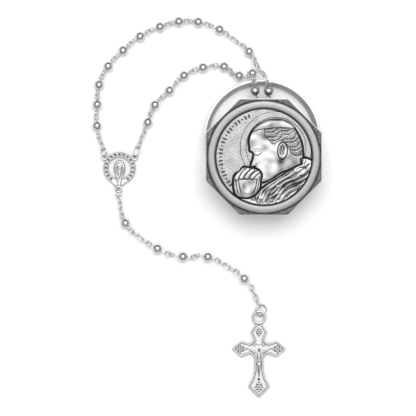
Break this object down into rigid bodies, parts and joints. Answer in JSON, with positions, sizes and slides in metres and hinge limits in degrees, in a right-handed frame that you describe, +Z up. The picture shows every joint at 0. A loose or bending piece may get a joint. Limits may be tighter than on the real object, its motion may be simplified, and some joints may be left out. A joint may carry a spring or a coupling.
{
  "type": "rosary box",
  "caption": "Round pressed metal box with an octagonal relief lid lying open on its rim, and a metal bead rosary with a centrepiece and crucifix drawn out over the rim.",
  "frame": {"origin": "middle of the dish's flat bottom, on the surface that the box stands on", "axes": "+Z up; +Y from the lid towards the side where the rosary leaves the dish; +X to the right as seen from above with +Y away"},
  "size_m": [0.0995, 0.166, 0.017],
  "materials": {
    "dish_satin": "satin silver plate on pressed sheet",
    "cap_satin": "satin silver plate on pressed sheet",
    "antique_pewter": "cast pewter, darkened in the hollows and polished on the high places",
    "polished_beads": "polished silver plate",
    "cast_silver_tone": "cast silver-tone metal, bright on the edges",
    "bright_wire": "bright wire"
  },
  "bodies": {
    "box_and_loop": {"base_dish": "dish_satin", "decade_1_beads": "polished_beads", "decade_2_beads": "polished_beads", "decade_3_beads": "polished_beads", "decade_4_beads": "polished_beads", "decade_5_beads": "polished_beads", "decade_1_pins": "bright_wire", "decade_2_pins": "bright_wire", "decade_3_pins": "bright_wire", "decade_4_pins": "bright_wire", "decade_5_pins": "bright_wire", "our_father_beads": "polished_beads", "our_father_pins": "bright_wire", "chain_left_ear": "bright_wire", "chain_right_ear": "bright_wire", "chain_first_our_father": "bright_wire", "chain_over_rim": "bright_wire", "chain_in_dish": "bright_wire", "centrepiece_jump_rings": "bright_wire", "centrepiece": "cast_silver_tone"},
    "lid": {"lid_cap": "cap_satin", "lid_plaque": "antique_pewter"},
    "stem_upper": {"stem_jump_ring": "bright_wire", "stem_chain_1": "bright_wire", "stem_bead_1": "polished_beads", "stem_pin_1": "bright_wire"},
    "stem_middle": {"stem_chain_2": "bright_wire", "stem_bead_2": "polished_beads", "stem_pin_2": "bright_wire"},
    "stem_hail_mary_2": {"stem_bead_3": "polished_beads", "stem_pin_3": "bright_wire"},
    "stem_hail_mary_3": {"stem_bead_4": "polished_beads", "stem_pin_4": "bright_wire"},
    "stem_lower": {"stem_chain_3": "bright_wire", "stem_bead_5": "polished_beads", "stem_pin_5": "bright_wire"},
    "stem_end": {"stem_chain_4": "bright_wire"},
    "crucifix_ring": {"crucifix_jump_ring": "bright_wire"},
    "crucifix": {"crucifix_cross": "cast_silver_tone", "corpus": "cast_silver_tone"}
  },
  "joints": [
    {"name": "lid_lift", "type": "slide", "parent": "box_and_loop", "child": "lid", "axis": [0, 0, 1], "range_m": [0, 0.04]},
    {"name": "stem_swing", "type": "hinge", "parent": "box_and_loop", "child": "stem_upper", "pos_m": [-0.06255, -0.022, 0], "axis": [0, 0, 1], "range_deg": [-10, 10]},
    {"name": "chain_bend_2", "type": "hinge", "parent": "stem_upper", "child": "stem_middle", "pos_m": [-0.0561, -0.04091, 0.0021], "axis": [0, 0, 1], "range_deg": [-8, 8]},
    {"name": "bead_bend_1", "type": "hinge", "parent": "stem_middle", "child": "stem_hail_mary_2", "pos_m": [-0.04015, -0.05046, 0.00205], "axis": [0, 0, 1], "range_deg": [-8, 8]},
    {"name": "bead_bend_2", "type": "hinge", "parent": "stem_hail_mary_2", "child": "stem_hail_mary_3", "pos_m": [-0.0289, -0.05144, 0.00205], "axis": [0, 0, 1], "range_deg": [-8, 8]},
    {"name": "chain_bend_3", "type": "hinge", "parent": "stem_hail_mary_3", "child": "stem_lower", "pos_m": [-0.01832, -0.05373, 0.00206], "axis": [0, 0, 1], "range_deg": [-8, 8]},
    {"name": "chain_bend_4", "type": "hinge", "parent": "stem_lower", "child": "stem_end", "pos_m": [-0.00398, -0.06612, 0.00187], "axis": [0, 0, 1], "range_deg": [-10, 10]},
    {"name": "ring_swing", "type": "hinge", "parent": "stem_end", "child": "crucifix_ring", "pos_m": [-0.00078, -0.07336, 0.00197], "axis": [0, 0, 1], "range_deg": [-12, 12]},
    {"name": "crucifix_swing", "type": "hinge", "parent": "crucifix_ring", "child": "crucifix", "pos_m": [-0.0012, -0.07805, 0], "axis": [0, 0, 1], "range_deg": [-45, 45]}
  ]
}
